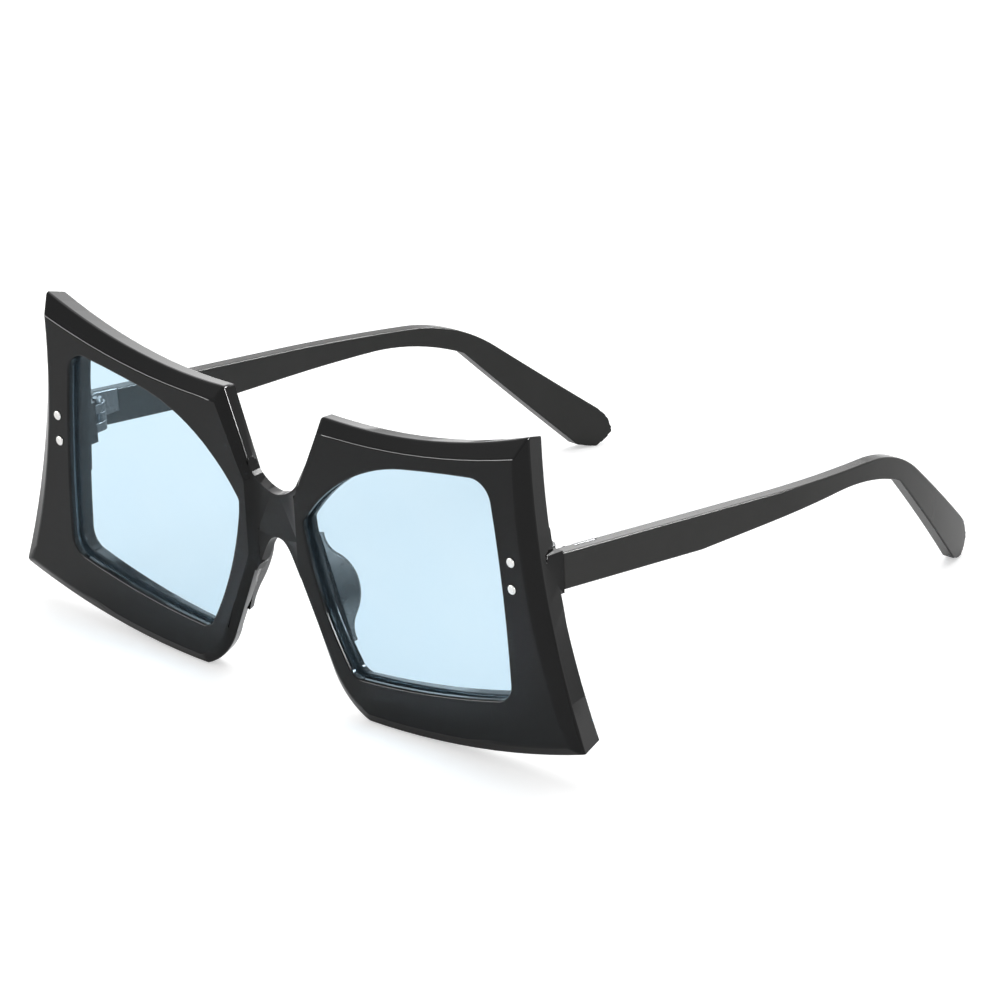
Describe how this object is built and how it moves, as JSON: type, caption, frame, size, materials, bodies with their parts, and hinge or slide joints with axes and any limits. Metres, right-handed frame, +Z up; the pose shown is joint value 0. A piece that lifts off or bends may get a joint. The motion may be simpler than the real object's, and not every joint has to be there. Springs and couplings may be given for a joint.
{
  "type": "oversized sunglasses",
  "caption": "Oversized bat-wing sunglasses with a mitred bevel round each rim, flat tinted lenses, nose pads and folding temples on riveted screw hinges.",
  "frame": {"origin": "on the table under the middle of the object's box, with the nose line at X = 0", "axes": "+Z up from the table, +Y back along the temples, +X to the wearer's left"},
  "size_m": [0.1556, 0.16, 0.0705],
  "materials": {
    "frame_plastic": "glossy",
    "pad_plastic": "glossy",
    "lens_tint": "clear pale blue tint",
    "hinge_metal": "satin"
  },
  "bodies": {
    "front": {"front_frame": "frame_plastic", "lens_left": "lens_tint", "lens_right": "lens_tint", "nose_pad_left": "pad_plastic", "nose_pad_right": "pad_plastic", "front_hinge_left": "hinge_metal", "front_hinge_right": "hinge_metal", "hinge_screw_left": "hinge_metal", "hinge_screw_right": "hinge_metal", "rivet_upper_left": "hinge_metal", "rivet_upper_right": "hinge_metal", "rivet_lower_left": "hinge_metal", "rivet_lower_right": "hinge_metal"},
    "arm_left": {"temple_left": "frame_plastic", "temple_hinge_left": "hinge_metal"},
    "arm_right": {"temple_right": "frame_plastic", "temple_hinge_right": "hinge_metal"}
  },
  "joints": [
    {"name": "fold_left", "type": "hinge", "parent": "front", "child": "arm_left", "pos_m": [0.0618, -0.06592, 0.04211], "axis": [0, -0.0681, 0.9977], "range_deg": [0, 86]},
    {"name": "fold_right", "type": "hinge", "parent": "front", "child": "arm_right", "pos_m": [-0.0618, -0.06592, 0.04211], "axis": [0, 0.0681, -0.9977], "range_deg": [0, 74]}
  ]
}
